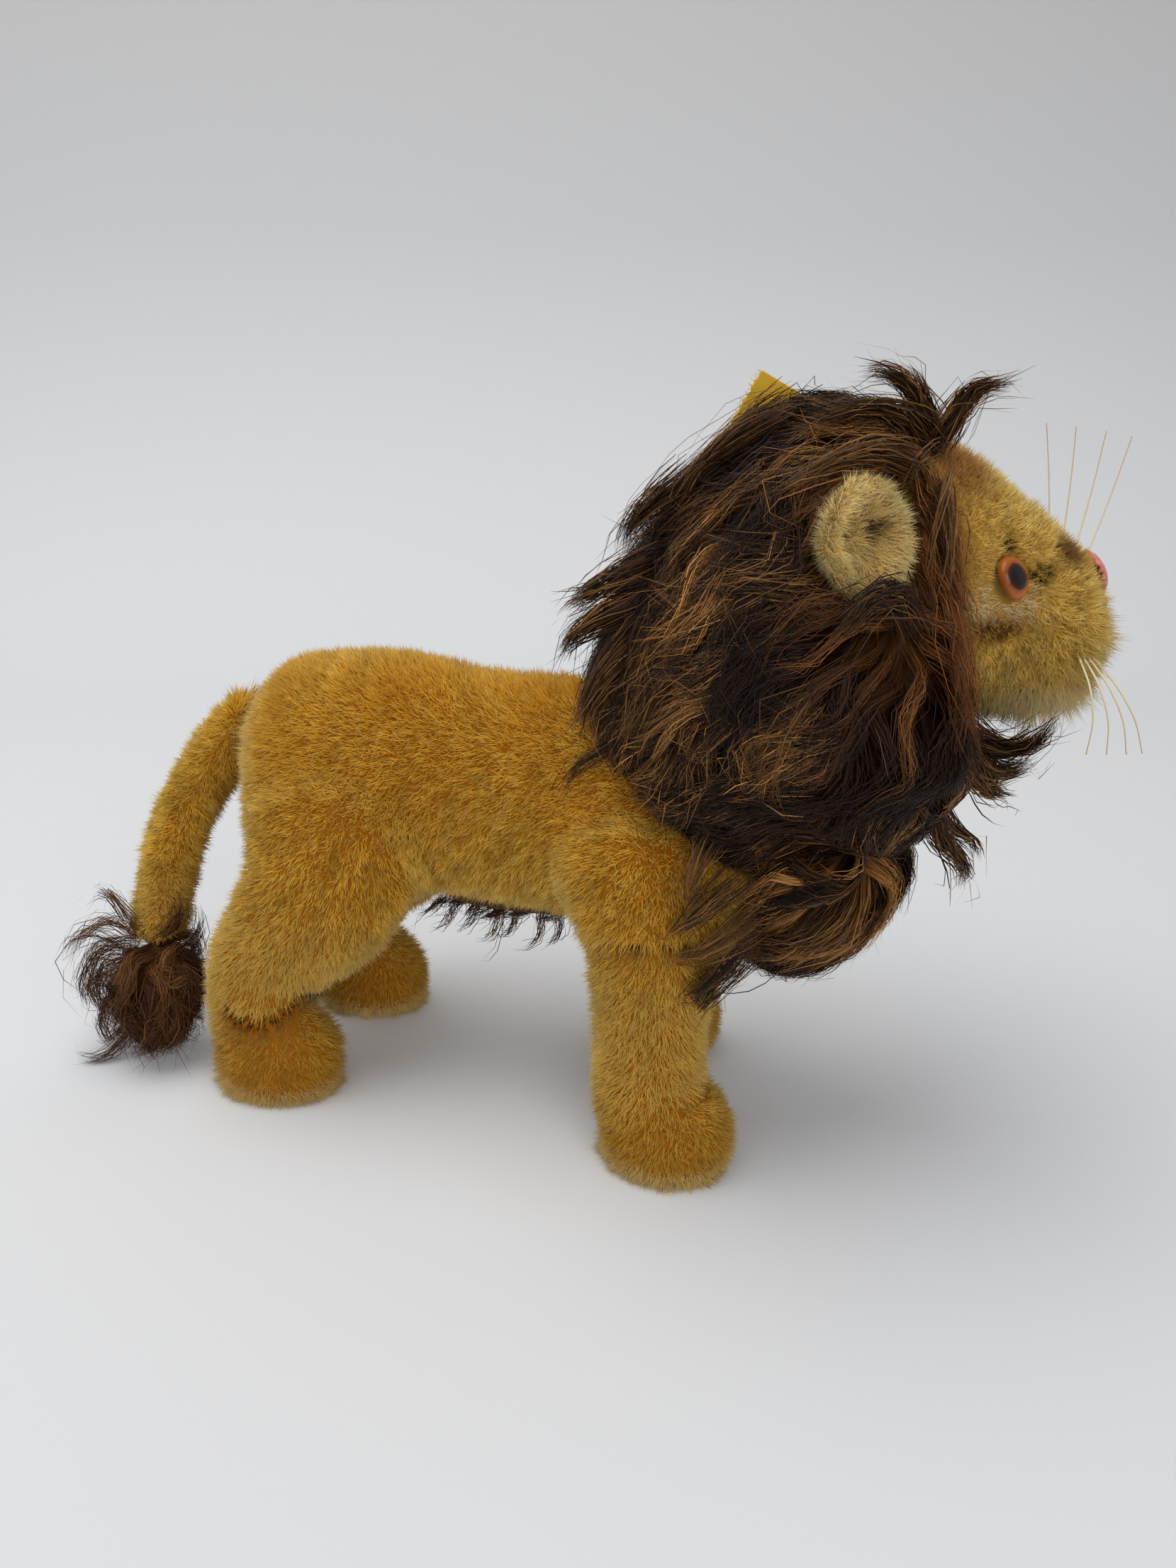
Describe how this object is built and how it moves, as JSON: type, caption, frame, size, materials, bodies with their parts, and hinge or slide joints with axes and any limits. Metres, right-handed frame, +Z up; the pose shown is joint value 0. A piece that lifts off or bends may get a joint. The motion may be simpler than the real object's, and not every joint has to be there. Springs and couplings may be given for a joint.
{
  "type": "standing plush lion",
  "caption": "Standing toy lion in golden mohair plush with a long two-tone mane, chest bib and tail tuft, glass eyes, a turning head and a tail that lifts.",
  "frame": {"origin": "middle of the whole toy's box, on the floor under its soles", "axes": "+X towards the nose, +Y to the lion's left, +Z up"},
  "size_m": [0.156, 0.055, 0.1118],
  "materials": {
    "body_plush": "short mohair pile",
    "face_plush": "very short mohair pile",
    "mane_pile": "long wavy mohair pile with lighter tips",
    "bib_pile": "long mohair pile",
    "ear_plush": "short cream pile",
    "sole_felt": "felt",
    "eye_glass": "clear glass over a painted back",
    "steel": "plain",
    "hardboard": "pressed board",
    "nose_floss": "satin floss",
    "mouth_floss": "twisted floss",
    "whisker_thread": "stiff thread",
    "tag_cloth": "woven cloth, left bare"
  },
  "bodies": {
    "root": {"torso": "body_plush", "front_leg_right": "body_plush", "front_sole_right": "sole_felt", "front_leg_left": "body_plush", "front_sole_left": "sole_felt", "hind_leg_right": "body_plush", "hind_sole_right": "sole_felt", "hind_leg_left": "body_plush", "hind_sole_left": "sole_felt", "front_leg_wire": "steel", "hind_leg_wire": "steel", "neck_disc_body": "hardboard", "neck_washer_body": "steel", "chest_bib": "bib_pile", "belly_fringe": "mane_pile"},
    "head": {"eye_left": "eye_glass", "eye_shank_left": "steel", "eye_right": "eye_glass", "eye_shank_right": "steel", "whisker_1": "whisker_thread", "whisker_2": "whisker_thread", "whisker_3": "whisker_thread", "whisker_4": "whisker_thread", "neck_disc_head": "hardboard", "neck_washer_head": "steel", "neck_pin": "steel", "head": "face_plush", "nose": "nose_floss", "mouth_stitch": "mouth_floss", "ear_left": "ear_plush", "ear_right": "ear_plush", "ear_tag": "tag_cloth", "mane": "mane_pile"},
    "tail": {"tail": "body_plush", "tail_wire": "steel", "tail_tuft": "mane_pile"}
  },
  "joints": [
    {"name": "head_swivel", "type": "hinge", "parent": "root", "child": "head", "pos_m": [0.01727, -0.00006, 0.0595], "axis": [0.5878, 0, 0.809], "continuous": true},
    {"name": "tail_lift", "type": "hinge", "parent": "root", "child": "tail", "pos_m": [-0.05593, -0.00006, 0.0565], "axis": [0, 1, 0], "range_deg": [0, 60]}
  ]
}
